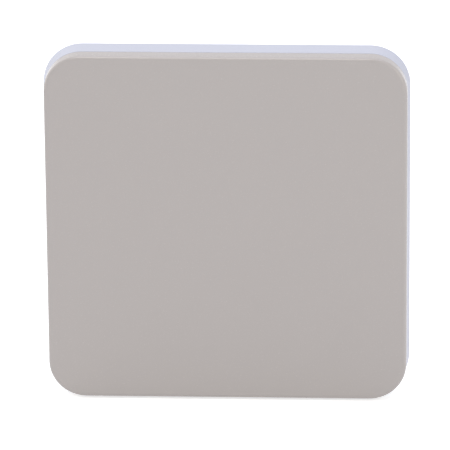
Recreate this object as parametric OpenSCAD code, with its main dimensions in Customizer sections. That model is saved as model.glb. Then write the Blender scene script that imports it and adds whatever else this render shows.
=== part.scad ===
// Thin square wireless push button for a wall. A spring-loaded front cap works a switch in the
// middle of a circuit board, and the rear housing that carries both hangs on a wall plate.
// Bench frame: x to the right, y up, z from the wall at 0 towards the user. The part is then stood
// up, with its back to +Y and its origin in the middle of the wall face. Sizes are millimetres.

/* [Housing] */
// Width and height of the square rear housing
body_w = 80; // [76:1:96]
// Corner radius of the rear housing, seen from the front
corner_r = 8.7; // [7:0.1:12]
// Thickness of the housing's outer wall
wall = 1.6; // [1.4:0.1:1.8]
// Thickness of the housing's floor
floor_t = 1.0; // [0.8:0.1:1.6]
// Round along the housing's rear edge
rear_edge_r = 1.0; // [0.4:0.1:1.2]
// Round along the housing's ledge, beside the seam
ledge_edge_r = 0.3; // [0.1:0.05:0.4]
// Thickness of the inner lip that the cap's skirt slides over
lip_wall = 1.2; // [1.0:0.1:1.5]

/* [Front cap] */
// How far the housing's sides lean out, from the cap's width at the seam to the rear edge
cap_step = 0.55; // [0.2:0.05:0.6]
// Height of the cap's side
cap_side = 3.6; // [2.8:0.1:4]
// Thickness of the cap's skirt
cap_wall = 1.5; // [1.4:0.1:1.9]
// Thickness of the cap's front
cap_plate = 1.6; // [1.3:0.1:2.2]
// Round along the cap's front edge
cap_edge_r = 0.8; // [0.3:0.1:1.2]
// Round along the cap's rim, beside the seam
rim_edge_r = 0.15; // [0.1:0.05:0.4]
// Travel of the cap when it is pressed
press_travel = 0.25; // [0.2:0.05:0.6]
// Width of each of the cap's four snap legs
leg_w = 8; // [5:0.5:12]
// Diameter of the cap's guide posts
post_d = 3.0; // [2.4:0.1:3.4]
// Width of the stiffening ribs under the cap
rib_w = 1.0; // [0.8:0.1:1.4]

/* [Return springs] */
// Diameter of the spring wire
spring_wire_d = 0.3; // [0.2:0.05:0.3]
// Length of a fitted spring
spring_len = 2.2; // [2.2:0.1:2.8]
// Turns of a spring
spring_turns = 2.5; // [1.5:0.5:2.5]

/* [Wall plate] */
// Thickness of the wall plate
plate_t = 1.2; // [1:0.1:1.6]
// How far the housing slides up to come off the wall plate
slide_travel = 4; // [3:0.5:5]
// Distance between the two wall screws
screw_spacing = 60; // [56:0.5:61]
// Diameter of the wall screw holes
screw_hole_d = 4.2; // [3.4:0.1:4.6]
// Height of the hooks above and below the middle
hook_y = 14; // [12:0.5:17]
// Thickness of the foam tape
tape_t = 0.8; // [0.6:0.1:1.2]

/* [Cell and door] */
// Diameter of the coin cell
cell_d = 20; // [18:0.5:21]
// Thickness of the coin cell
cell_t = 3.2; // [2.5:0.1:3.2]
// Distance of the cell's middle from the board's lower edge
cell_edge = 14; // [13.5:0.5:14.5]
// Angle by which the door turns to open
door_turn = 50; // [40:1:60]
// Length of the door's coin slot
coin_slot_l = 16; // [10:1:18]

/* [Electronics] */
// Thickness of the circuit board
board_t = 1.0; // [0.8:0.1:1.6]
// Height of the board above the housing's floor
standoff_h = 1.2; // [1:0.1:1.8]
// Width of the switch
switch_w = 6; // [5.6:0.1:6.4]
// Height of the switch without its plunger
switch_h = 1.5; // [1.4:0.1:2.5]
// Distance of the radio module's middle from the board's upper edge
radio_edge = 13; // [11:0.5:13.5]
// Width of the radio module
radio_w = 13; // [12:0.5:14]

/* [Hidden] */
$fn = 64;

// Colours
cap_grey = "#BAB4B1";
housing_white = "#E6E9F2";
board_green = "#1F5A3C";
gold = "#C9A24B";
steel = "#B9BBBE";
black = "#202124";
ceramic_tan = "#B59A78";
foam_white = "#D9DADB";

// Clearances
cut = 0.5;
slip = 0.1;
touch = 0.02;
hair = 0.0005;
part_gap = 0.2;
press_margin = 0.05;
lip_clear = 0.3;
slide_clear = 0.3;
bore_clear = 0.1;
door_clear = 0.2;
screw_clear = 0.05;

// Heights from the wall to the face, one on top of the other
tape_sink = 0.4;
plunger_proud = 0.1;
actuator_h = 0.63;
rim_rear = 0.2;
plate_rear = tape_t - tape_sink;
plate_front = plate_rear + plate_t;
recess_d = plate_front + slip;
floor_z = recess_d + floor_t;
board_z = floor_z + standoff_h;
board_top = board_z + board_t;
switch_top = board_top + switch_h;
plunger_top = switch_top + plunger_proud + press_travel;
under_z = plunger_top + touch + actuator_h;
depth = under_z + cap_plate;
rim_z = depth - cap_side;
ledge_z = rim_z - press_travel - press_margin;
lip_top = under_z - press_travel - part_gap;
bite = cap_plate / 2;

// Outlines, all set in from the housing's own
half = body_w / 2;
recess_w = body_w - 2 * wall;
lip_inset = cap_step + cap_wall + lip_clear;
lip_w = body_w - 2 * lip_inset;
cavity_w = lip_w - 2 * lip_wall;
cavity_r = corner_r - lip_inset - lip_wall;
cap_w = body_w - 2 * cap_step;
cap_r = corner_r - cap_step;

// Guide posts, their bosses and the springs round them
post_inset = 10.5;
post_xy = half - post_inset;
post_floor_gap = 0.3;
post_tip = floor_z + press_travel + post_floor_gap;
spring_clear = 0.55;
spring_r = post_d / 2 + spring_clear + spring_wire_d / 2;
spring_seat = 0.65;
boss_d = 2 * (spring_r + spring_wire_d / 2 + spring_seat);
boss_top = under_z - spring_len;
wire_sides = 6;
rings_per_turn = 8;
spring_rings = spring_turns * rings_per_turn;
spring_rise = spring_len - spring_wire_d - 2 * touch;
spring_step = spring_rise / spring_rings;

// Snap legs and their windows in the lip
leg_gap = 0.15;
leg_t = 1.0;
tooth_out = 0.85;
tooth_h = 0.8;
tooth_lead = 0.45;
leg_tip = floor_z + press_margin + press_travel;
tooth_top = leg_tip + tooth_h;
leg_face = cavity_w / 2 - leg_gap;
window_w = leg_w + 2 * lip_clear;
window_top = tooth_top + slip / 2;

// Circuit board and its screws
board_side_gap = 10.45;
board_end_gap = 4.45;
board_w = cavity_w - 2 * board_side_gap;
board_h = cavity_w - 2 * board_end_gap;
board_r = 3;
screw_inset = 4;
screw_d = 1.6;
screw_head_d = 3;
screw_head_h = 0.7;
cross_w = 0.45;
screw_skin = 0.4;
screw_hole_floor = recess_d + screw_skin;
screw_tip = screw_hole_floor + part_gap;
screw_x = board_w / 2 - screw_inset;
screw_y = board_h / 2 - screw_inset;
standoff_d = 5;

// Cell, door and contacts
cell_r = cell_d / 2;
cell_offset = board_h / 2 - cell_edge;
cell_clear = 0.3;
can_rim = 1.4;
ring_in = cell_r + cell_clear;
ring_t = 0.9;
hub_r = ring_in + ring_t;
door_hole_r = hub_r + door_clear;
lug_reach = 1.8;
lug_t = 0.7;
lug_angle = 26;
lug_count = 3;
notch_play = 6;
notch_angle = lug_angle + notch_play;
flange_reach = 2.3;
flange_r = hub_r + flange_reach;
flange_t = 1.0;
flange_front = recess_d - slip / 2;
door_rear = flange_front - flange_t;
door_inner = flange_front + slip;
lug_z = floor_z + slip / 2;
lug_top = lug_z + lug_t;
ring_top = lug_top + part_gap;
coin_slot_w = 1.8;
coin_slot_d = 0.5;
pointer_r = 1.1;
pointer_d = 0.3;
pointer_at = flange_r - 2 * pointer_r;
dot_r = 0.5;
dot_h = 0.4;
dot_at = flange_r + 3 * dot_r;
cell_z = door_inner + slip / 2;
cell_top = cell_z + cell_t;
board_hole_r = cell_r + 2 * part_gap;
contact_t = 0.2;
contact_w = 5;
contact_foot = 3;
contact_rise = 1.2;
arch_h = 0.6;
arch_z = max(board_top, cell_top) + arch_h;
arch_r = board_hole_r + 2 * part_gap;
foot_r = arch_r + contact_rise;
tab_w = 4;
tab_angle = 45;
tab_clear = 0.6;
tab_end = board_z - part_gap;

// Switch
plunger_r = 1.7;
plunger_flange_r = 2.0;
plunger_flange_t = 0.35;
cover_t = 0.2;
cover_z = switch_top - cover_t;
cover_lip = 0.8;
switch_well_r = 2.3;
dome_t = 0.08;
well_z = cover_z - press_travel - plunger_flange_t - dome_t - slip;
dome_rise = press_travel - touch;
terminal_l = 1.2;
terminal_w = 0.7;
terminal_t = 0.2;
terminal_y = 2.25;

// Radio module and the small parts
radio_y = board_h / 2 - radio_edge;
radio_h = 17;
radio_t = 0.8;
radio_top = board_top + radio_t;
shield_margin = 1;
shield_w = radio_w - 2 * shield_margin;
shield_h = 10.5;
shield_t = 0.2;
shield_y = radio_y - radio_h / 2 + shield_margin + shield_h / 2;
shield_top = under_z - press_travel - part_gap;
chip_size = [5, 5, 0.6];
trace_t = 0.05;
trace_w = 0.5;
trace_runs = 6;
trace_h = 3.5;
crystal_size = [3.2, 2.5, 0.7];
parts_gap = 2;
crystal_at = [-radio_w / 2 - 2 * parts_gap, radio_y];
capacitor_size = [3.5, 2.8, 1.2];
capacitor_at = [-10, 5];
passive_size = [1.0, 0.5, 0.35];
passive_step = 2;
passive_count = 5;
passive_x = radio_w / 2 + parts_gap;
passive_low = 5;
passive_rows = [[passive_x, radio_y - passive_low], [passive_x, radio_y + passive_size[0]]];
led_size = [1.6, 0.8, 0.6];
led_at = [9, 4];
led_pocket_r = 2;
led_skin = 0.7;
led_pocket_d = cap_plate - led_skin;

// Ribs under the cap, and the pad that works the switch
rib_h = 0.7;
rib_clear = 1.2;
rib_inset = 10;
rib_x = board_w / 2 - rib_inset;
rib_end_gap = 6;
rib_length = board_h - 2 * rib_end_gap;
rib_top_y = radio_y - radio_h / 2 - rib_clear;
rib_low_y = -switch_w / 2 - 2 * rib_clear;
actuator_d = 5;

// Wall plate
plate_w = recess_w - 2 * slide_clear;
plate_h = plate_w - slide_travel;
plate_r = corner_r - wall - slide_clear;
hook_inset = 9;
hook_x = half - hook_inset;
hook_w = 3;
hook_stem = 3;
hook_t = 0.7;
hook_z = floor_z + slip;
hook_free = 1;
hook_reach = slide_travel - hook_free;
slot_gap = 0.2;
notch_clear = 0.7;
door_notch_r = flange_r + notch_clear;
door_notch_y = slide_travel - cell_offset;
screw_head_room_d = 9;
tape_w = 62;
tape_h = 60;
tape_r = 4;
tape_margin = 3;
tape_notch_r = door_notch_r + tape_margin;
tape_screw_r = screw_hole_d / 2 + tape_margin;
tape_y = slide_travel / 2;

// Repeats what follows at each of the four sides
module each_side() {
  for (i = [0:3]) {
    rotate(90 * i) children();
  }
}

// Repeats what follows at each corner of a square of points
module each_corner(x, y) {
  for (sx = [-1, 1], sy = [-1, 1]) {
    translate([sx * x, sy * y, 0]) children();
  }
}

// Flat rounded rectangle about the middle
module rounded_rect(w, h, r) {
  square([w - 2 * r, h], center = true);
  square([w, h - 2 * r], center = true);
  each_corner(w / 2 - r, h / 2 - r) circle(r);
}

// Straight rounded block between two heights
module prism(w, h, r, z0, z1) {
  translate([0, 0, z0]) linear_extrude(z1 - z0) rounded_rect(w, h, r);
}

// Section of a slab's edge, with rounds at its outer top and bottom corners. Where its side leans in
// towards the bottom, the side crosses both rounds a hair inside them.
module edge_section(l, h, top_r, low_r, lean) {
  top_at = [l - top_r, h - top_r];
  low_at = [l - lean - low_r, low_r];
  between = top_at - low_at;
  tilt = atan2(between[0], between[1]) - asin((low_r - top_r) / norm(between));
  out = [cos(tilt), -sin(tilt)];
  skim = lean > 0 ? hair : 0;
  polygon([
    [0, 0],
    [low_at[0], 0],
    low_at + (low_r - skim) * out,
    top_at + (top_r - skim) * out,
    [top_at[0], h],
    [0, h]
  ]);
  translate(top_at) circle(top_r);
  translate(low_at) circle(low_r);
}

// Square slab with round corners and a round along its top and bottom edges
module soft_slab(w, r, h, top_r, low_r, lean = 0) {
  straight = w - 2 * r;
  translate([0, 0, h / 2]) cube([straight, straight, h], center = true);
  each_side() {
    translate([straight / 2, straight / 2, 0])
      rotate_extrude(angle = 90) edge_section(r, h, top_r, low_r, lean);
    translate([0, straight / 2, 0])
      rotate([90, 0, 90])
        linear_extrude(straight, center = true) edge_section(r, h, top_r, low_r, lean);
  }
}

// Part of a ring, centred on an angle
module sector(angle, width, r0, r1, z0, z1) {
  rotate(angle - width / 2)
    rotate_extrude(angle = width)
      translate([r0, z0]) square([r1 - r0, z1 - z0]);
}

// Small block that stands on a height
module block(at, size, z) {
  translate([at[0], at[1], z + size[2] / 2]) cube(size, center = true);
}

// One snap leg, seen from its side: x outwards, y forwards
module leg_section() {
  polygon([
    [leg_face - leg_t, under_z + bite],
    [leg_face - leg_t, leg_tip],
    [leg_face, leg_tip],
    [leg_face + tooth_out, leg_tip + tooth_lead],
    [leg_face + tooth_out, tooth_top],
    [leg_face, tooth_top],
    [leg_face, under_z + bite]
  ]);
}

module cap_ribs() {
  rib_z = under_z - rib_h;
  rib_size = [rib_w, rib_length, rib_h + bite];
  for (x = [-rib_x, rib_x]) {
    block([x, 0], rib_size, rib_z);
  }
  for (y = [rib_top_y, rib_low_y]) {
    block([0, y], [2 * rib_x, rib_w, rib_h + bite], rib_z);
  }
}

// The push plate: skirt, snap legs, guide posts, ribs and the pad that works the switch
module front_cap() {
  color(cap_grey) difference() {
    union() {
      difference() {
        translate([0, 0, rim_z]) soft_slab(cap_w, cap_r, cap_side, cap_edge_r, rim_edge_r);
        prism(cap_w - 2 * cap_wall, cap_w - 2 * cap_wall, cap_r - cap_wall, rim_z - cut, under_z);
      }
      each_side() rotate([90, 0, 0]) linear_extrude(leg_w, center = true) leg_section();
      each_corner(post_xy, post_xy)
        translate([0, 0, post_tip]) cylinder(d = post_d, h = under_z + bite - post_tip);
      translate([0, 0, plunger_top + touch]) cylinder(d = actuator_d, h = actuator_h + bite);
      cap_ribs();
    }
    translate([led_at[0], led_at[1], under_z - cut]) cylinder(r = led_pocket_r, h = led_pocket_d + cut);
  }
}

// Solid forms of the rear housing, before its holes
module housing_solid() {
  difference() {
    translate([0, 0, ledge_z])
      mirror([0, 0, 1])
        soft_slab(body_w, corner_r, ledge_z - rim_rear, rear_edge_r, ledge_edge_r, cap_step);
    prism(recess_w, recess_w, corner_r - wall, -cut, recess_d);
    prism(recess_w, recess_w, corner_r - wall, floor_z, ledge_z + cut);
  }
  difference() {
    prism(lip_w, lip_w, corner_r - lip_inset, floor_z, lip_top);
    prism(cavity_w, cavity_w, cavity_r, floor_z, lip_top + cut);
  }
  each_corner(post_xy, post_xy) translate([0, 0, floor_z]) cylinder(d = boss_d, h = boss_top - floor_z);
  each_corner(screw_x, screw_y) translate([0, 0, floor_z]) cylinder(d = standoff_d, h = standoff_h);
  door_dots();
}

// Two raised dots beside the door, where its pointer stands when it is shut and when it is open
module door_dots() {
  for (turn = [0, door_turn]) {
    translate([0, -cell_offset, recess_d - dot_h])
      rotate(-90 - turn) translate([dot_at, 0, 0]) cylinder(r = dot_r, h = dot_h + floor_t / 2);
  }
}

// Opening for the battery door, with a notch for each lug where the door is turned open
module door_opening() {
  translate([0, -cell_offset, 0]) {
    translate([0, 0, recess_d - cut]) cylinder(r = door_hole_r, h = floor_t + 2 * cut);
    for (i = [1:lug_count]) {
      notch_at = 90 + i * 360 / lug_count - door_turn;
      sector(notch_at, notch_angle, cell_r, hub_r + lug_reach + door_clear, recess_d - cut, floor_z + cut);
    }
  }
}

// Slots that let the wall plate's hooks in and then hold them
module hook_slots() {
  slot_h = hook_stem + slide_travel + 2 * slot_gap;
  each_corner(hook_x, hook_y)
    block([0, -slide_travel / 2], [hook_w + 2 * slot_gap, slot_h, floor_t + 2 * cut], recess_d - cut);
}

module base_housing() {
  color(housing_white) difference() {
    housing_solid();
    door_opening();
    hook_slots();
    for (x = [-1, 1]) {
      translate([x * screw_spacing / 2, 0, recess_d - cut])
        cylinder(d = screw_head_room_d, h = floor_t + 2 * cut);
    }
    each_side()
      block([cavity_w / 2, 0], [2 * lip_wall + cut, window_w, window_top - floor_z], floor_z);
    each_corner(post_xy, post_xy)
      translate([0, 0, floor_z]) cylinder(d = post_d + 2 * bore_clear, h = boss_top - floor_z + cut);
    each_corner(screw_x, screw_y)
      translate([0, 0, screw_hole_floor]) cylinder(d = screw_d + 2 * screw_clear, h = board_z);
  }
}

module circuit_board() {
  color(board_green) difference() {
    prism(board_w, board_h, board_r, board_z, board_top);
    translate([0, -cell_offset, board_z - cut]) {
      cylinder(r = board_hole_r, h = board_t + 2 * cut);
      rotate(tab_angle)
        block([board_hole_r, 0], [2 * tab_clear, tab_w + 2 * tab_clear, board_t + 2 * cut], 0);
    }
    each_corner(screw_x, screw_y)
      translate([0, 0, board_z - cut]) cylinder(d = screw_d + 2 * part_gap, h = board_t + 2 * cut);
  }
}

// Four self-tapping screws with cross recesses
module board_screws() {
  color(steel) each_corner(screw_x, screw_y) difference() {
    union() {
      translate([0, 0, screw_tip]) cylinder(d = screw_d, h = board_top - screw_tip);
      translate([0, 0, board_top]) cylinder(d = screw_head_d, h = screw_head_h);
    }
    for (a = [0, 90]) {
      rotate(a) block([0, 0], [screw_d, cross_w, screw_head_h], board_top + screw_head_h / 2);
    }
  }
}

module switch_body() {
  color(black) difference() {
    block([0, 0], [switch_w, switch_w, cover_z - board_top], board_top);
    translate([0, 0, well_z]) cylinder(r = switch_well_r, h = switch_h);
  }
}

module switch_cover() {
  color(steel) {
    difference() {
      block([0, 0], [switch_w, switch_w, cover_t], cover_z);
      translate([0, 0, cover_z - cut]) cylinder(r = plunger_r + bore_clear, h = cover_t + 2 * cut);
    }
    for (x = [-1, 1]) {
      block([x * (switch_w + cover_t) / 2, 0], [cover_t, switch_w / 2, cover_lip], switch_top - cover_lip);
    }
  }
}

module switch_plunger() {
  flange_top = cover_z - slip / 2;
  color(black) {
    translate([0, 0, flange_top - plunger_flange_t]) cylinder(r = plunger_flange_r, h = plunger_flange_t);
    translate([0, 0, flange_top]) cylinder(r = plunger_r, h = plunger_top - flange_top);
  }
}

// Snap dome under the plunger: a thin cone with a flat top
module switch_dome() {
  foot = well_z + touch;
  foot_r = switch_well_r - bore_clear;
  crown_r = foot_r / 2;
  color(steel) rotate_extrude() polygon([
    [0, foot + dome_rise],
    [crown_r, foot + dome_rise],
    [foot_r - dome_t, foot],
    [foot_r, foot],
    [crown_r + dome_t / 2, foot + dome_rise + dome_t],
    [0, foot + dome_rise + dome_t]
  ]);
}

module switch_terminals() {
  color(steel) for (sx = [-1, 1], sy = [-1, 1]) {
    at = [sx * (switch_w + terminal_l) / 2, sy * terminal_y];
    block(at, [terminal_l, terminal_w, terminal_t], board_top);
  }
}

function helix_angle(i) = 360 * i / rings_per_turn;
function helix_point(i) =
  [spring_r * cos(helix_angle(i)), spring_r * sin(helix_angle(i)), spring_step * i];
function wire_ring(i) =
  let (
    a = helix_angle(i),
    out = [cos(a), sin(a), 0],
    side = [-sin(a), cos(a), spring_step * rings_per_turn / (2 * PI * spring_r)],
    up = cross(out, side) / norm(side)
  )
  [for (k = [0:wire_sides - 1])
    let (q = 360 * k / wire_sides)
    helix_point(i) + spring_wire_d / 2 * (cos(q) * out + sin(q) * up)];
function wire_quad(i, k) =
  let (
    a = i * wire_sides + k,
    b = i * wire_sides + (k + 1) % wire_sides
  )
  [[a, b, b + wire_sides], [a, b + wire_sides, a + wire_sides]];
spring_faces = concat(
  [for (i = [0:spring_rings - 1], k = [0:wire_sides - 1], t = wire_quad(i, k)) t],
  [for (k = [1:wire_sides - 2]) [0, k + 1, k]],
  [for (k = [1:wire_sides - 2]) [0, k, k + 1] + spring_rings * wire_sides * [1, 1, 1]]
);
spring_gap = min([
  for (i = [0:spring_rings], j = [i + rings_per_turn / 2:1:spring_rings])
    norm(helix_point(i) - helix_point(j)) - spring_wire_d
]);

// Coil spring round one guide post, as one tube along a helix
module return_spring(corner) {
  sx = corner % 2 == 0 ? 1 : -1;
  sy = corner > 2 ? 1 : -1;
  echo(least_gap_between_turns = spring_gap);
  color(steel)
    translate([sx * post_xy, sy * post_xy, boss_top + spring_wire_d / 2 + touch])
      polyhedron([for (i = [0:spring_rings], p = wire_ring(i)) p], spring_faces);
}

// Coin cell: can at the back, smaller negative cap at the front
module coin_cell() {
  bevel = 0.3;
  cap_edge = cell_r - can_rim;
  groove = 0.25;
  color(steel) translate([0, -cell_offset, cell_z]) rotate_extrude() polygon([
    [0, 0],
    [cell_r - bevel, 0],
    [cell_r, bevel],
    [cell_r, cell_t - 2 * bevel],
    [cell_r - bevel, cell_t - bevel],
    [cap_edge + groove, cell_t - bevel],
    [cap_edge + groove, cell_t - 2 * bevel],
    [cap_edge, cell_t - 2 * bevel],
    [cap_edge, cell_t - bevel / 2],
    [cap_edge - bevel / 2, cell_t],
    [0, cell_t]
  ]);
}

// Half of the leaf's underside, from its foot on the board to its dip on the cell
function leaf_line(lift) = [
  [foot_r + contact_foot, board_top + lift],
  [foot_r, board_top + lift],
  [arch_r, arch_z + lift],
  [contact_w, arch_z + lift],
  [contact_w / 2, cell_top + touch + lift]
];
function mirrored(points) = [for (i = [len(points) - 1:-1:0]) [-points[i][0], points[i][1]]];

module negative_contact() {
  under = concat(leaf_line(0), mirrored(leaf_line(0)));
  over = concat(leaf_line(contact_t), mirrored(leaf_line(contact_t)));
  outline = concat(under, [for (i = [len(over) - 1:-1:0]) over[i]]);
  color(steel) translate([0, -cell_offset, 0])
    rotate([90, 0, 0]) linear_extrude(contact_w, center = true) polygon(outline);
}

// Side tab: foot on the board, finger down to the side of the can
module positive_contact() {
  finger_r = cell_r + touch;
  foot_l = board_hole_r + tab_clear + contact_foot - finger_r;
  color(steel) translate([0, -cell_offset, 0]) rotate(tab_angle) {
    block([finger_r + foot_l / 2, 0], [foot_l, tab_w, contact_t], board_top);
    block([finger_r + contact_t / 2, 0], [contact_t, tab_w, board_top + contact_t - tab_end], tab_end);
  }
}

// Bayonet door: flange, cup that centres the cell, lugs, a coin slot and a pointer
module battery_door() {
  bevel = 0.3;
  color(housing_white) translate([0, -cell_offset, 0]) difference() {
    union() {
      rotate_extrude() polygon([
        [0, door_rear],
        [flange_r - bevel, door_rear],
        [flange_r, door_rear + bevel],
        [flange_r, flange_front],
        [hub_r, flange_front],
        [hub_r, ring_top],
        [ring_in, ring_top],
        [ring_in, door_inner],
        [0, door_inner]
      ]);
      for (i = [1:lug_count]) {
        lug_at = 90 + i * 360 / lug_count;
        sector(lug_at, lug_angle, hub_r - ring_t / 2, hub_r + lug_reach, lug_z, lug_top);
      }
    }
    block([0, 0], [coin_slot_l, coin_slot_w, coin_slot_d + cut], door_rear - cut);
    rotate(-90)
      translate([pointer_at, 0, door_rear - cut]) cylinder(r = pointer_r, h = pointer_d + cut, $fn = 3);
  }
}

module radio_board() {
  color(board_green) block([0, radio_y], [radio_w, radio_h, radio_t], board_top);
}

module radio_shield() {
  outer = [shield_w, shield_h, shield_top - radio_top];
  inner = [shield_w - 2 * shield_t, shield_h - 2 * shield_t, outer[2] - shield_t + cut];
  color(steel) difference() {
    block([0, shield_y], outer, radio_top);
    block([0, shield_y], inner, radio_top - cut);
  }
}

module radio_chip() {
  color(black) block([0, shield_y], chip_size, radio_top);
}

// Printed aerial: a line that runs up and down across the end of the radio board
module radio_antenna() {
  pitch = (shield_w - trace_w) / trace_runs;
  start_y = shield_y + shield_h / 2 + shield_margin;
  color(gold) translate([0, 0, radio_top]) linear_extrude(trace_t) {
    for (i = [0:trace_runs]) {
      translate([(i - trace_runs / 2) * pitch - trace_w / 2, start_y]) square([trace_w, trace_h]);
    }
    for (i = [0:trace_runs - 1]) {
      translate([(i - trace_runs / 2) * pitch, start_y + (i % 2 == 0 ? trace_h - trace_w : 0)])
        square([pitch, trace_w]);
    }
  }
}

module crystal() {
  color(steel) block(crystal_at, crystal_size, board_top);
}

module reservoir_capacitor() {
  color(gold) block(capacitor_at, capacitor_size, board_top);
}

module chip_components() {
  color(ceramic_tan) for (row = passive_rows, i = [0:passive_count - 1]) {
    block(row + [i * passive_step, 0], passive_size, board_top);
  }
}

module status_led() {
  color("white") block(led_at, led_size, board_top);
}

// Flat outline of the wall plate, with a notch that clears the battery door
module plate_outline() {
  difference() {
    translate([0, slide_travel / 2]) rounded_rect(plate_w, plate_h, plate_r);
    translate([0, door_notch_y]) circle(door_notch_r);
    translate([-door_notch_r, door_notch_y - body_w]) square([2 * door_notch_r, body_w]);
    for (x = [-1, 1]) {
      translate([x * screw_spacing / 2, 0]) circle(d = screw_hole_d);
    }
  }
}

// Flat outline of the foam tape, grown by a clearance where it marks its seat
module tape_outline(grow) {
  notch_r = tape_notch_r - grow;
  difference() {
    translate([0, tape_y]) rounded_rect(tape_w + 2 * grow, tape_h + 2 * grow, tape_r);
    translate([0, door_notch_y]) circle(notch_r);
    translate([-notch_r, door_notch_y - body_w]) square([2 * notch_r, body_w]);
    for (x = [-1, 1]) {
      translate([x * screw_spacing / 2, 0]) circle(tape_screw_r - grow);
    }
  }
}

module wall_plate() {
  color(housing_white) {
    difference() {
      translate([0, 0, plate_rear]) linear_extrude(plate_t) plate_outline();
      translate([0, 0, plate_rear - cut]) linear_extrude(tape_sink + cut) tape_outline(part_gap);
    }
    each_corner(hook_x, hook_y) {
      block([0, 0], [hook_w, hook_stem, hook_z + hook_t - plate_front], plate_front);
      block([0, hook_reach / 2], [hook_w, hook_stem + hook_reach, hook_t], hook_z);
    }
  }
}

module foam_tape() {
  color(foam_white) linear_extrude(tape_t) tape_outline(0);
}

// Stands the bench model up against the wall
module stand() {
  rotate([90, 0, 0]) children();
}

stand() front_cap();
stand() base_housing();
stand() circuit_board();
stand() board_screws();
stand() switch_body();
stand() switch_cover();
stand() switch_plunger();
stand() switch_dome();
stand() switch_terminals();
for (i = [1:4]) stand() return_spring(i);
stand() coin_cell();
stand() negative_contact();
stand() positive_contact();
stand() battery_door();
stand() radio_board();
stand() radio_shield();
stand() radio_chip();
stand() radio_antenna();
stand() crystal();
stand() reservoir_capacitor();
stand() chip_components();
stand() status_led();
stand() wall_plate();
stand() foam_tape();
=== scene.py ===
"""Looks of a thin square wireless wall button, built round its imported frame."""

import math

import bmesh
import bpy
from bpy.props import FloatProperty, FloatVectorProperty, IntProperty, PointerProperty
from mathutils import Matrix, Vector


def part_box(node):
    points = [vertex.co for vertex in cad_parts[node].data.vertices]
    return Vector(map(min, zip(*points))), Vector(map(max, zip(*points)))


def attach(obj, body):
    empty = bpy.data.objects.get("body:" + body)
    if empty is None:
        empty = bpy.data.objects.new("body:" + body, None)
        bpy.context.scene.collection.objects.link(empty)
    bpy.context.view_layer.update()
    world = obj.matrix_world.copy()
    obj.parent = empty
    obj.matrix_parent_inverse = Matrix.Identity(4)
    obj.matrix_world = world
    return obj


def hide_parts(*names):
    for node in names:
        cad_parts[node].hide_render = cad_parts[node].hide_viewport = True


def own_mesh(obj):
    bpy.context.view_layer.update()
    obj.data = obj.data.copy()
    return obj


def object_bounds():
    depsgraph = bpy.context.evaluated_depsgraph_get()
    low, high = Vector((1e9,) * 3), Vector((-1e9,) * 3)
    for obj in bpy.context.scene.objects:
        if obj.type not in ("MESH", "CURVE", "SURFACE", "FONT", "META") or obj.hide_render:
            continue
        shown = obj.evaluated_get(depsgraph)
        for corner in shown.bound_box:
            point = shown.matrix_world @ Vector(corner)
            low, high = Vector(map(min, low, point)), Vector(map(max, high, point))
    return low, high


bl_info = {
    "name": "Smart button",
    "version": (1, 0, 0),
    "blender": (4, 5, 0),
    "location": "3D View > Sidebar > Smart button",
    "description": "Dresses the pieces of a thin wireless wall button and sets up its studio",
    "category": "Object",
}

MM = 0.001
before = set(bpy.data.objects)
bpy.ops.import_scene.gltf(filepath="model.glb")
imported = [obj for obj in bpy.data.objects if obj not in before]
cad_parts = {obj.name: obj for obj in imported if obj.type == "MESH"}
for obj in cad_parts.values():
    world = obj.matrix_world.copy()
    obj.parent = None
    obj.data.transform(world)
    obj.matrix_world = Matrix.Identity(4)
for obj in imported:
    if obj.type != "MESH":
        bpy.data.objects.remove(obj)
CAD_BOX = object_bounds()

# Typical refractive indices.
ABS_IOR = 1.53
LCP_IOR = 1.6
RESIN_IOR = 1.55
FOAM_IOR = 1.51

# Nearly all values of a noise pattern lie between these two.
NOISE_LOW = 0.3
NOISE_HIGH = 0.7

# Lines from rolling or drawing are about twelve times as long as they are wide.
LINES_ALONG_X = (1 / 12, 1, 1)
LINES_ALONG_Z = (1, 1, 1 / 12)
NO_LINES = (1, 1, 1)

SPRING_COUNT = 4

# Places of the lamps and half the floor's width, in metres. The button stands at the origin and faces -Y.
KEY_PLACE = (-0.1, -0.45, 0.95)
SKY_PLACE = (0, 0.2, 1)
RIGHT_PLACE = (0.9, -0.6, 0.2)
LEFT_PLACE = (-1.05, 0.1, 0.3)
BACK_PLACE = (-0.7, 0.9, 0.9)
FLOOR_REACH = 4


def linear(hex_colour):
    """An sRGB hex colour as linear red, green and blue."""
    channels = [int(hex_colour[i : i + 2], 16) / 255 for i in (1, 3, 5)]
    return tuple(c / 12.92 if c <= 0.04045 else ((c + 0.055) / 1.055) ** 2.4 for c in channels)


def colour(name, description, hex_colour):
    """A colour property whose default is an sRGB hex colour."""
    default = linear(hex_colour)
    return FloatVectorProperty(
        name=name, description=description, subtype="COLOR", size=3, min=0, max=1, default=default
    )


def length(name, description, millimetres):
    """A length property whose default is given in millimetres."""
    default = millimetres * MM
    return FloatProperty(name=name, description=description, unit="LENGTH", default=default, precision=6)


def angle(name, description, degrees):
    """An angle property whose default is given in degrees."""
    return FloatProperty(name=name, description=description, subtype="ANGLE", default=math.radians(degrees))


def power(name, description, watts):
    """The power of a lamp."""
    return FloatProperty(name=name, description=description, unit="POWER", default=watts, min=0)


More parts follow.
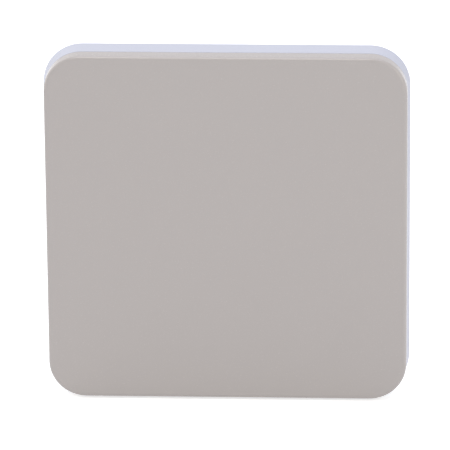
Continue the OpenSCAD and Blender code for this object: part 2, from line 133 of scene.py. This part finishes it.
class ButtonColours(bpy.types.PropertyGroup):
    """Colours of the button's materials and of its studio"""

    cap: colour("Cap", "Warm grey of the push plate", "#B8B2AF")
    housing: colour("Housing", "Cool white of the rear housing, wall plate and door", "#C9CCD8")
    foam: colour("Foam", "Pale grey of the foam tape", "#C9CBCE")
    board: colour("Board", "Green of the solder mask", "#1D5B3B")
    black: colour("Black moulding", "Black of the switch and the chip", "#1B1C1E")
    steel: colour("Steel", "Grey of bright steel", "#B8BABD")
    tin: colour("Tin", "Grey of tinned sheet", "#C6C6C2")
    gold: colour("Gold", "Yellow of gold-flashed copper", "#CDA85A")
    ceramic: colour("Ceramic", "Tan of fired chip parts", "#A98F6E")
    capacitor: colour("Capacitor", "Ochre of the capacitor's resin", "#BE9442")
    led: colour("Status lamp", "Milky white of the status lamp's resin", "#EEEDE6")
    floor: colour("Floor", "Pale floor of the studio", "#F4F4F4")
    around: colour("Surroundings", "Slightly cool light from all round", "#F4F7FF")
    sky: colour("Sky light", "Slightly blue light from above", "#E8EAFF")
    lamp: colour("Lamp light", "Slightly warm light from the other lamps", "#FFF9EC")


class ButtonSizes(bpy.types.PropertyGroup):
    """Sizes of the fine surface detail and of the pieces that bend"""

    flow_marks: length("Flow marks", "Width of the faint clouds that plastic leaves as it fills a mould", 14)
    spark_grain: length("Mould grain", "Spacing of the fine pits of a spark-eroded mould", 0.28)
    cap_relief: length("Cap relief", "Depth of the pits on the push plate", 0.0008)
    housing_relief: length("Housing relief", "Depth of the pits on the white mouldings", 0.004)
    black_relief: length("Black relief", "Depth of the pits on the black mouldings", 0.003)
    metal_line: length("Metal line", "Spacing of the fine lines from rolling or drawing", 0.06)
    metal_relief: length("Metal relief", "Depth of those lines", 0.0005)
    speck: length("Speck", "Width of the specks in cast resin and fired ceramic", 0.5)
    speck_relief: length("Speck relief", "Height of those specks", 0.002)
    glass_weave: length("Glass weave", "Spacing of the glass threads in the circuit board", 0.5)
    weave_relief: length("Weave relief", "Height of the threads under the solder mask", 0.002)
    foam_cell: length("Foam cell", "Width of the foam's cells", 0.55)
    foam_relief: length("Foam relief", "Depth of the foam's cells", 0.03)
    tape_corner: length("Tape corner", "Radius of the foam tape's outer corners", 4)
    tape_notch: length("Tape notch", "Radius of the notch that clears the battery door", 17.2)
    tape_notch_drop: length("Notch drop", "Distance of the notch's middle below the middle of the button", 14)
    tape_bite: length("Tape bite", "Radius of the cut-outs round the wall screws", 5.1)
    tape_edge: length("Tape edge", "Round along the cut edges of the foam", 0.12)
    screw_spacing: length("Screw spacing", "Distance between the wall screws", 60)
    spring_wire: length("Spring wire", "Diameter of the return springs' wire", 0.3)
    spring_turns: FloatProperty(
        name="Spring turns", description="Turns of a return spring", default=2.5, min=1
    )
    dome_sheet: length("Dome sheet", "Thickness of the switch's snap dome", 0.08)
    dome_clear: length("Dome clearance", "Gap that the pressed dome leaves under the plunger", 0.005)
    arc_steps: IntProperty(name="Arc steps", description="Steps in a quarter of a circle", default=16, min=4)


class ButtonLights(bpy.types.PropertyGroup):
    """Strengths and sizes of the studio's soft lights"""

    around: FloatProperty(name="Surroundings", description="Even light from all round", default=0.55, min=0)
    glow: FloatProperty(name="Floor glow", description="Lift that keeps the floor white", default=0.62, min=0)
    key: power("Key light", "Small light above the front, which picks out the edges", 2.6)
    sky: power("Sky light", "Blue-white light straight above", 3.2)
    right: power("Right light", "Soft light at the front, on the right", 3.6)
    left: power("Left light", "Soft light beside the left edge", 2.8)
    back: power("Back light", "Soft light behind, on the left", 2.2)
    small: length("Small lamp", "Side of the key light", 400)
    broad: length("Broad lamp", "Side of the other lights", 900)


class ButtonCamera(bpy.types.PropertyGroup):
    """Where the camera stands, as in the photograph"""

    azimuth: angle("Azimuth", "Turn to the right of the front", 3.0)
    elevation: angle("Elevation", "Height above the horizon", 19.53)
    roll: angle("Roll", "Turn about the line of sight", -0.5)
    distance: length("Distance", "From the target to the camera", 1072.6)
    lens: FloatProperty(
        name="Lens", description="Focal length in millimetres on a 36 mm sensor", default=393.1
    )
    aim_x: length("Aim across", "Target to the right of the middle of the face", -0.24)
    aim_z: length("Aim up", "Target above the middle of the face", 1.14)


def settings():
    """The colours and the sizes that the panel shows."""
    scene = bpy.context.scene
    return scene.smart_button_colours, scene.smart_button_sizes


def add_node(tree, kind, inputs=None, **properties):
    """Adds a node, sets its properties, and sets or links each of its named inputs."""
    node = tree.nodes.new(kind)
    for name, value in properties.items():
        setattr(node, name, value)
    for name, value in (inputs or {}).items():
        if isinstance(value, bpy.types.NodeSocket):
            tree.links.new(value, node.inputs[name])
        else:
            node.inputs[name].default_value = value
    return node


def new_material(name):
    """An empty node material and its tree."""
    material = bpy.data.materials.new(name)
    material.use_nodes = True
    material.node_tree.nodes.clear()
    return material, material.node_tree


def grained_material(name, base, clouds, drift, grain, relief, roughness, gloss, stretch=NO_LINES, **shader):
    """A material whose colour drifts along wide clouds, and whose gloss and relief follow a finer grain.

    clouds and grain are the widths of the two patterns and relief is the grain's depth, in metres. drift is
    the share by which the colour changes, and gloss the amount by which the roughness does. stretch below 1
    draws the patterns out along an axis. What else is given goes to the shader as it is.
    """
    material, tree = new_material(name)
    place = add_node(tree, "ShaderNodeTexCoord")
    spot = add_node(tree, "ShaderNodeMapping", {"Vector": place.outputs["Object"], "Scale": stretch})
    wide = add_node(
        tree,
        "ShaderNodeTexNoise",
        {"Vector": spot.outputs["Vector"], "Scale": 1 / clouds, "Detail": 3.0},
    )
    fine = add_node(
        tree,
        "ShaderNodeTexNoise",
        {"Vector": spot.outputs["Vector"], "Scale": 1 / grain, "Detail": 3.0, "Roughness": 0.6},
    )
    tint = add_node(
        tree,
        "ShaderNodeMix",
        {
            "Factor": wide.outputs["Fac"],
            "A": [c * (1 - drift) for c in base] + [1],
            "B": [min(1, c * (1 + drift)) for c in base] + [1],
        },
        data_type="RGBA",
    )
    dull = add_node(
        tree,
        "ShaderNodeMapRange",
        {
            "Value": fine.outputs["Fac"],
            "From Min": NOISE_LOW,
            "From Max": NOISE_HIGH,
            "To Min": roughness - gloss,
            "To Max": roughness + gloss,
        },
    )
    bump = add_node(
        tree,
        "ShaderNodeBump",
        {"Height": fine.outputs["Fac"], "Distance": relief, "Strength": 1.0},
    )
    skin = add_node(
        tree,
        "ShaderNodeBsdfPrincipled",
        {
            "Base Color": tint.outputs["Result"],
            "Roughness": dull.outputs["Result"],
            "Normal": bump.outputs["Normal"],
            **shader,
        },
    )
    add_node(tree, "ShaderNodeOutputMaterial", {"Surface": skin.outputs["BSDF"]})
    return material


def moulded_plastic(name, base, ior, roughness, relief):
    """Plastic from a spark-eroded mould: an even low sheen, fine pits and very faint flow clouds."""
    _, sizes = settings()
    # The real pits are about a tenth of a millimetre; they are drawn coarser so that they show.
    return grained_material(
        name,
        base,
        clouds=sizes.flow_marks,
        drift=0.006,
        grain=sizes.spark_grain,
        relief=relief,
        roughness=roughness,
        gloss=0.02,
        IOR=ior,
    )


def metal(name, base, roughness, stretch=NO_LINES):
    """Rolled, drawn or plated metal: bright, with a sheen broken up by fine lines or by plating grain."""
    _, sizes = settings()
    # Real lines are about a hundredth of a millimetre apart; they are drawn coarser so that they show.
    return grained_material(
        name,
        base,
        clouds=sizes.metal_line,
        drift=0.04,
        grain=sizes.metal_line,
        relief=sizes.metal_relief,
        roughness=roughness,
        gloss=0.06,
        stretch=stretch,
        Metallic=1.0,
    )


def resin(name, base, roughness):
    """Cast resin or fired ceramic: nearly plain, with slightly cloudy specks."""
    _, sizes = settings()
    # Real specks are a few hundredths of a millimetre wide; they are drawn coarser so that they show.
    return grained_material(
        name,
        base,
        clouds=sizes.speck,
        drift=0.05,
        grain=sizes.speck,
        relief=sizes.speck_relief,
        roughness=roughness,
        gloss=0.05,
        IOR=RESIN_IOR,
    )


def foam_material():
    """Closed-cell polyethylene foam: dull, with small round cells in relief, each painted darker in its
    middle as painted shade.
    """
    colours, sizes = settings()
    material, tree = new_material("closed_cell_foam")
    place = add_node(tree, "ShaderNodeTexCoord")
    cells = add_node(
        tree,
        "ShaderNodeTexVoronoi",
        {"Vector": place.outputs["Object"], "Scale": 1 / sizes.foam_cell},
    )
    shade = add_node(
        tree,
        "ShaderNodeMapRange",
        {"Value": cells.outputs["Distance"], "From Min": 0.1, "From Max": 0.7},
    )
    # Painted shade: each cell's hollow middle is painted 7 % darker than the foam.
    painted_shade_share = 0.93
    painted_shade_tint = [c * painted_shade_share for c in colours.foam]
    tint = add_node(
        tree,
        "ShaderNodeMix",
        {"Factor": shade.outputs["Result"], "A": (*painted_shade_tint, 1), "B": (*colours.foam, 1)},
        data_type="RGBA",
    )
    bump = add_node(
        tree,
        "ShaderNodeBump",
        {"Height": cells.outputs["Distance"], "Distance": sizes.foam_relief, "Strength": 1.0},
    )
    skin = add_node(
        tree,
        "ShaderNodeBsdfPrincipled",
        {
            "Base Color": tint.outputs["Result"],
            "Roughness": 0.72,
            "IOR": FOAM_IOR,
            "Normal": bump.outputs["Normal"],
        },
    )
    add_node(tree, "ShaderNodeOutputMaterial", {"Surface": skin.outputs["BSDF"]})
    return material


def board_material():
    """Solder mask over woven glass: glossy green, with the weave just showing through."""
    colours, sizes = settings()
    material, tree = new_material("solder_mask_on_glass_laminate")
    contrast = 0.06
    place = add_node(tree, "ShaderNodeTexCoord")
    weave = add_node(
        tree,
        "ShaderNodeTexChecker",
        {
            "Vector": place.outputs["Object"],
            "Scale": 1 / sizes.glass_weave,
            "Color1": [c * (1 - contrast) for c in colours.board] + [1],
            "Color2": [c * (1 + contrast) for c in colours.board] + [1],
        },
    )
    bump = add_node(
        tree,
        "ShaderNodeBump",
        {"Height": weave.outputs["Fac"], "Distance": sizes.weave_relief, "Strength": 1.0},
    )
    skin = add_node(
        tree,
        "ShaderNodeBsdfPrincipled",
        {
            "Base Color": weave.outputs["Color"],
            "Roughness": 0.28,
            "IOR": RESIN_IOR,
            "Normal": bump.outputs["Normal"],
        },
    )
    add_node(tree, "ShaderNodeOutputMaterial", {"Surface": skin.outputs["BSDF"]})
    return material


def dress(node, material):
    """Gives a carried-over piece its material."""
    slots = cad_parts[node].data.materials
    slots.clear()
    slots.append(material)


def new_piece(name, mesh, node, material, body):
    """Adds a mesh that stands for a node, rides on its body and takes its slot."""
    piece = bpy.data.objects.new(name, mesh)
    bpy.context.scene.collection.objects.link(piece)
    mesh.materials.append(material)
    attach(piece, body)
    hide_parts(node)
    return piece


def arc(centre, radius, start, end, steps):
    """Points on an arc, with angles in degrees, both ends included."""
    angles = [math.radians(start + (end - start) * i / steps) for i in range(steps + 1)]
    return [(centre[0] + radius * math.cos(a), centre[1] + radius * math.sin(a)) for a in angles]


def tape_outline(low, high, sizes):
    """The foam tape's outline seen along Y: corners, a bite at each screw and a notch for the door."""
    steps = sizes.arc_steps
    half, corner, notch = high.x, sizes.tape_corner, sizes.tape_notch
    screw = (sizes.screw_spacing / 2, 0)
    open_angle = math.degrees(math.acos((half - screw[0]) / sizes.tape_bite))
    right = [(notch, low.z)]
    right += arc((half - corner, low.z + corner), corner, -90, 0, steps)
    right += arc(screw, sizes.tape_bite, -open_angle, open_angle - 360, 2 * steps)
    right += arc((half - corner, high.z - corner), corner, 0, 90, steps)
    left = [(-x, z) for x, z in reversed(right)]
    return right + left + arc((0, -sizes.tape_notch_drop), notch, 180, 0, 3 * steps)


def tape_mesh(low, high, sizes):
    """The foam tape: its outline pulled to thickness, with soft cut edges."""
    form = bmesh.new()
    rim = [form.verts.new((x, high.y, z)) for x, z in tape_outline(low, high, sizes)]
    face = form.faces.new(rim)
    pulled = bmesh.ops.extrude_face_region(form, geom=[face])["geom"]
    moved = [v for v in pulled if isinstance(v, bmesh.types.BMVert)]
    bmesh.ops.translate(form, verts=moved, vec=(0, low.y - high.y, 0))
    middle = (low.y + high.y) / 2
    cut_edges = [e for e in form.edges if (e.verts[0].co.y < middle) == (e.verts[1].co.y < middle)]
    bmesh.ops.bevel(form, geom=cut_edges, offset=sizes.tape_edge, segments=3, profile=0.5, affect="EDGES")
    bmesh.ops.recalc_face_normals(form, faces=form.faces)
    mesh = bpy.data.meshes.new("foam_tape_form")
    form.to_mesh(mesh)
    form.free()
    return mesh


def coil_mesh(name, low, high, sizes):
    """A coil spring along Y that fills a box: one round wire wound on a helix."""
    wire, steps = sizes.spring_wire, 4 * sizes.arc_steps
    centre = (low + high) / 2
    radius = (high.x - low.x - wire) / 2
    count = int(sizes.spring_turns * steps)
    curve = bpy.data.curves.new(name, "CURVE")
    curve.dimensions = "3D"
    curve.bevel_depth = wire / 2
    curve.bevel_resolution = 3
    curve.use_fill_caps = True
    line = curve.splines.new("POLY")
    line.points.add(count)
    for i in range(count + 1):
        turn = 2 * math.pi * i / steps
        along = low.y + wire / 2 + (high.y - low.y - wire) * i / count
        x = centre.x + radius * math.cos(turn)
        z = centre.z + radius * math.sin(turn)
        line.points[i].co = (x, along, z, 1)
    holder = bpy.data.objects.new(name, curve)
    mesh = bpy.data.meshes.new_from_object(holder)
    bpy.data.objects.remove(holder)
    mesh.shade_smooth()
    return mesh


def dome_mesh(low, high, sizes):
    """A snap dome along Y: a thin cap of a sphere, closed by its own thickness."""
    centre = (low + high) / 2
    foot, rise = (high.x - low.x) / 2, high.y - low.y - sizes.dome_sheet
    ball = (foot**2 + rise**2) / (2 * rise)
    rings, around = sizes.arc_steps, 4 * sizes.arc_steps
    form = bmesh.new()

    def ring(r, y):
        angles = [2 * math.pi * k / around for k in range(around)]
        return [form.verts.new((centre.x + r * math.cos(a), y, centre.z + r * math.sin(a))) for a in angles]

    radii = [foot * (1 - i / rings) for i in range(rings)]
    heights = [math.sqrt(ball**2 - r**2) - (ball - rise) for r in radii]
    outer = [ring(r, high.y - h - sizes.dome_sheet) for r, h in zip(radii, heights)]
    inner = [ring(r, high.y - h) for r, h in zip(radii, heights)]
    loops = list(reversed(inner)) + outer
    for a, b in zip(loops, loops[1:]):
        for k in range(around):
            form.faces.new((a[k], a[(k + 1) % around], b[(k + 1) % around], b[k]))
    form.faces.new(loops[0])
    form.faces.new(loops[-1])
    bmesh.ops.recalc_face_normals(form, faces=form.faces)
    mesh = bpy.data.meshes.new("switch_dome_form")
    form.to_mesh(mesh)
    form.free()
    mesh.shade_smooth()
    return mesh


class FrontCap(bpy.types.Operator):
    """Gives the push plate its matt warm grey moulding"""

    bl_idname = "smart_button.front_cap"
    bl_label = "Front cap"

    def execute(self, context):
        colours, sizes = settings()
        # ABS from a finely eroded mould: an even grey face that shines only along its rounded edges.
        grey = moulded_plastic(
            "spark_matt_abs_warm_grey", colours.cap, ABS_IOR, roughness=0.26, relief=sizes.cap_relief
        )
        dress("front_cap", grey)
        return {"FINISHED"}


class RearHousing(bpy.types.Operator):
    """Gives the rear housing, its battery door and the wall plate their satin white moulding"""

    bl_idname = "smart_button.rear_housing"
    bl_label = "Rear housing, door and wall plate"

    def execute(self, context):
        colours, sizes = settings()
        # The same plastic from a coarser mould: paler and cooler, with a soft satin and no glints.
        white = moulded_plastic(
            "satin_abs_cool_white", colours.housing, ABS_IOR, roughness=0.55, relief=sizes.housing_relief
        )
        for node in ("base_housing", "battery_door", "wall_plate"):
            dress(node, white)
        return {"FINISHED"}


class FoamTape(bpy.types.Operator):
    """Cuts the foam tape on the back of the wall plate"""

    bl_idname = "smart_button.foam_tape"
    bl_label = "Foam tape"

    def execute(self, context):
        _, sizes = settings()
        low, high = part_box("foam_tape")
        new_piece("tape", tape_mesh(low, high, sizes), "foam_tape", foam_material(), "bracket")
        return {"FINISHED"}


class ReturnSprings(bpy.types.Operator):
    """Winds the four return springs as coils of one fixed length"""

    bl_idname = "smart_button.return_springs"
    bl_label = "Return springs"

    def execute(self, context):
        colours, sizes = settings()
        # Wire drawn through a die: bright, with a slightly broken glint round each turn.
        wire = metal("drawn_spring_steel", colours.steel, roughness=0.3)
        for i in range(1, SPRING_COUNT + 1):
            node = f"return_spring_{i}"
            low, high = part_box(node)
            mesh = coil_mesh(f"coil_{i}", low, high, sizes)
            coil = new_piece(f"coil_{i}", mesh, node, wire, "base")
            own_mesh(coil)
        return {"FINISHED"}


class TactSwitch(bpy.types.Operator):
    """Dresses the switch under the cap, and builds its snap dome as a thin cap of a sphere"""

    bl_idname = "smart_button.tact_switch"
    bl_label = "Switch"

    def execute(self, context):
        colours, sizes = settings()
        # Glass-filled liquid crystal polymer: dull black, faintly grainy.
        black = moulded_plastic(
            "black_lcp_moulding", colours.black, LCP_IOR, roughness=0.45, relief=sizes.black_relief
        )
        dress("switch_body", black)
        dress("switch_plunger", black)
        # Cold-rolled sheet: a long sheen across the rolling lines.
        cover = metal("rolled_stainless_sheet", colours.steel, roughness=0.32, stretch=LINES_ALONG_X)
        dress("switch_cover", cover)
        # Dipped tin: paler than steel, with a slightly frosted shine.
        dress("switch_terminals", metal("tinned_terminal_strip", colours.tin, roughness=0.35))
        # Polished spring sheet: the sharpest glint inside the button.
        spring = metal("polished_dome_steel", colours.steel, roughness=0.2)
        low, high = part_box("switch_dome")
        dome = new_piece("snap_dome", dome_mesh(low, high, sizes), "switch_dome", spring, "base")
        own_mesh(dome)
        return {"FINISHED"}


class CoinCell(bpy.types.Operator):
    """Dresses the coin cell and its two contacts"""

    bl_idname = "smart_button.coin_cell"
    bl_label = "Coin cell and contacts"

    def execute(self, context):
        colours, _ = settings()
        # Nickel on drawn steel: a clean shine with straight rolling lines.
        can = metal("nickel_plated_can", colours.steel, roughness=0.3, stretch=LINES_ALONG_X)
        dress("coin_cell", can)
        # Tinned bronze strip: a soft shine with lines along its length.
        strip = metal("tinned_bronze_strip", colours.tin, roughness=0.33, stretch=LINES_ALONG_Z)
        dress("negative_contact", strip)
        dress("positive_contact", strip)
        return {"FINISHED"}


class CircuitBoard(bpy.types.Operator):
    """Dresses the circuit board, its screws, the radio module and the small parts"""

    bl_idname = "smart_button.circuit_board"
    bl_label = "Circuit board and its parts"

    def execute(self, context):
        colours, sizes = settings()
        mask = board_material()
        dress("circuit_board", mask)
        dress("radio_board", mask)
        # Plated metals, from frosted zinc to smooth gold.
        dress("board_screws", metal("zinc_plated_screw", colours.steel, roughness=0.35))
        shield = metal("tinned_shield_can", colours.tin, roughness=0.3, stretch=LINES_ALONG_Z)
        dress("radio_shield", shield)
        dress("radio_antenna", metal("gold_flashed_copper", colours.gold, roughness=0.25))
        dress("crystal", metal("nickel_crystal_lid", colours.tin, roughness=0.3))
        # Transfer-moulded epoxy: matt black.
        chip = moulded_plastic(
            "black_epoxy_package", colours.black, RESIN_IOR, roughness=0.5, relief=sizes.black_relief
        )
        dress("radio_chip", chip)
        # Dipped resin and fired ceramic are dull, and the lamp's milky cast resin is glossy.
        dress("reservoir_capacitor", resin("tantalum_resin", colours.capacitor, roughness=0.5))
        dress("chip_components", resin("fired_chip_ceramic", colours.ceramic, roughness=0.45))
        dress("status_led", resin("cast_lamp_resin", colours.led, roughness=0.25))
        return {"FINISHED"}


def seen_directly(tree):
    """One where a ray comes from the camera, a gloss or a clear surface, and nought elsewhere."""
    path = add_node(tree, "ShaderNodeLightPath")
    total = path.outputs["Is Camera Ray"]
    for name in ("Is Glossy Ray", "Is Transmission Ray"):
        either = add_node(tree, "ShaderNodeMath", {0: total, 1: path.outputs[name]}, operation="MAXIMUM")
        total = either.outputs["Value"]
    return total


def add_lamp(name, at, aim, size, watts, tint):
    """A square soft light that points at a place."""
    lamp = bpy.data.lights.new(name, "AREA")
    lamp.shape = "SQUARE"
    lamp.size = size
    lamp.energy = watts
    lamp.color = tint
    holder = bpy.data.objects.new(name, lamp)
    holder.visible_camera = False
    holder.location = at
    holder.rotation_mode = "QUATERNION"
    holder.rotation_quaternion = (aim - Vector(at)).to_track_quat("-Z", "Y")
    bpy.context.scene.collection.objects.link(holder)


def add_world(tint, strength):
    """White where it is seen, and an even soft light elsewhere."""
    world = bpy.data.worlds.new("studio")
    world.use_nodes = True
    tree = world.node_tree
    tree.nodes.clear()
    light = add_node(tree, "ShaderNodeBackground", {"Color": (*tint, 1), "Strength": strength})
    white = add_node(tree, "ShaderNodeBackground", {"Color": (1, 1, 1, 1), "Strength": 1.0})
    both = add_node(
        tree,
        "ShaderNodeMixShader",
        {0: seen_directly(tree), 1: light.outputs["Background"], 2: white.outputs["Background"]},
    )
    add_node(tree, "ShaderNodeOutputWorld", {"Surface": both.outputs["Shader"]})
    bpy.context.scene.world = world


def add_floor(height, reach, tint, glow):
    """A pale painted floor that looks white and keeps a soft shadow."""
    material, tree = new_material("painted_studio_floor")
    paint = add_node(tree, "ShaderNodeBsdfDiffuse", {"Color": (*tint, 1)})
    lift = add_node(tree, "ShaderNodeEmission", {"Color": (1, 1, 1, 1), "Strength": glow})
    lit = add_node(tree, "ShaderNodeAddShader", {0: paint.outputs["BSDF"], 1: lift.outputs["Emission"]})
    both = add_node(
        tree,
        "ShaderNodeMixShader",
        {0: seen_directly(tree), 1: paint.outputs["BSDF"], 2: lit.outputs["Shader"]},
    )
    add_node(tree, "ShaderNodeOutputMaterial", {"Surface": both.outputs["Shader"]})
    mesh = bpy.data.meshes.new("floor")
    corners = [(x * reach, y * reach, height) for x, y in ((-1, -1), (1, -1), (1, 1), (-1, 1))]
    mesh.from_pydata(corners, [], [(0, 1, 2, 3)])
    mesh.materials.append(material)
    floor = bpy.data.objects.new("floor", mesh)
    bpy.context.scene.collection.objects.link(floor)


def add_camera(place, face):
    """The photograph's camera: a long lens that looks a little down at the face."""
    az, el, roll = place.azimuth, place.elevation, place.roll
    back = Vector((math.sin(az) * math.cos(el), -math.cos(az) * math.cos(el), math.sin(el)))
    right = Vector((math.cos(az), math.sin(az), 0))
    up = back.cross(right)
    across = right * math.cos(roll) + up * math.sin(roll)
    upright = up * math.cos(roll) - right * math.sin(roll)
    lens = bpy.data.cameras.new("photo_camera")
    lens.lens = place.lens
    lens.clip_start = 0.1
    lens.clip_end = 50
    camera = bpy.data.objects.new("photo_camera", lens)
    turn = Matrix((across, upright, back)).transposed().to_4x4()
    at = face + Vector((place.aim_x, 0, place.aim_z)) + back * place.distance
    camera.matrix_world = Matrix.Translation(at) @ turn
    bpy.context.scene.collection.objects.link(camera)
    bpy.context.scene.camera = camera


class Stage(bpy.types.Operator):
    """Sets up the floor, the soft lights and the photograph's camera"""

    bl_idname = "smart_button.stage"
    bl_label = "Studio"

    def execute(self, context):
        colours, _ = settings()
        scene = context.scene
        scene.view_settings.view_transform = "Standard"
        lights = scene.smart_button_lights
        low, high = CAD_BOX
        middle = (low + high) / 2
        add_floor(low.z, FLOOR_REACH, colours.floor, lights.glow)
        add_world(colours.around, lights.around)
        add_lamp("key_light", KEY_PLACE, middle, lights.small, lights.key, colours.lamp)
        add_lamp("sky_light", SKY_PLACE, middle, lights.broad, lights.sky, colours.sky)
        add_lamp("right_light", RIGHT_PLACE, middle, lights.broad, lights.right, colours.lamp)
        add_lamp("left_light", LEFT_PLACE, middle, lights.broad, lights.left, colours.lamp)
        add_lamp("back_light", BACK_PLACE, middle, lights.broad, lights.back, colours.lamp)
        add_camera(scene.smart_button_camera, Vector((middle.x, low.y, middle.z)))
        return {"FINISHED"}


GROUPS = {
    "smart_button_colours": ButtonColours,
    "smart_button_sizes": ButtonSizes,
    "smart_button_lights": ButtonLights,
    "smart_button_camera": ButtonCamera,
}
OPERATORS = (FrontCap, RearHousing, FoamTape, ReturnSprings, TactSwitch, CoinCell, CircuitBoard, Stage)


class ButtonPanel(bpy.types.Panel):
    """Lists the button's pieces, colours, sizes, lights and camera"""

    bl_idname = "VIEW3D_PT_smart_button"
    bl_label = "Smart button"
    bl_space_type = "VIEW_3D"
    bl_region_type = "UI"
    bl_category = "Smart button"

    def draw(self, context):
        for operator in OPERATORS:
            self.layout.operator(operator.bl_idname)
        for name, group in GROUPS.items():
            box = self.layout.box()
            for setting in group.__annotations__:
                box.prop(getattr(context.scene, name), setting)


def register():
    """Makes the settings, the operators and the panel known to Blender."""
    for cls in (*GROUPS.values(), *OPERATORS, ButtonPanel):
        bpy.utils.register_class(cls)
    for name, group in GROUPS.items():
        setattr(bpy.types.Scene, name, PointerProperty(type=group))


def unregister():
    """Takes them away again, in the opposite order."""
    for name in reversed(GROUPS):
        delattr(bpy.types.Scene, name)
    for cls in reversed((*GROUPS.values(), *OPERATORS, ButtonPanel)):
        bpy.utils.unregister_class(cls)


def main():
    """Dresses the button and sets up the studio."""
    register()
    bpy.ops.smart_button.front_cap()
    bpy.ops.smart_button.rear_housing()
    bpy.ops.smart_button.foam_tape()
    bpy.ops.smart_button.return_springs()
    bpy.ops.smart_button.tact_switch()
    bpy.ops.smart_button.coin_cell()
    bpy.ops.smart_button.circuit_board()
    bpy.ops.smart_button.stage()


if __name__ == "__main__":
    main()
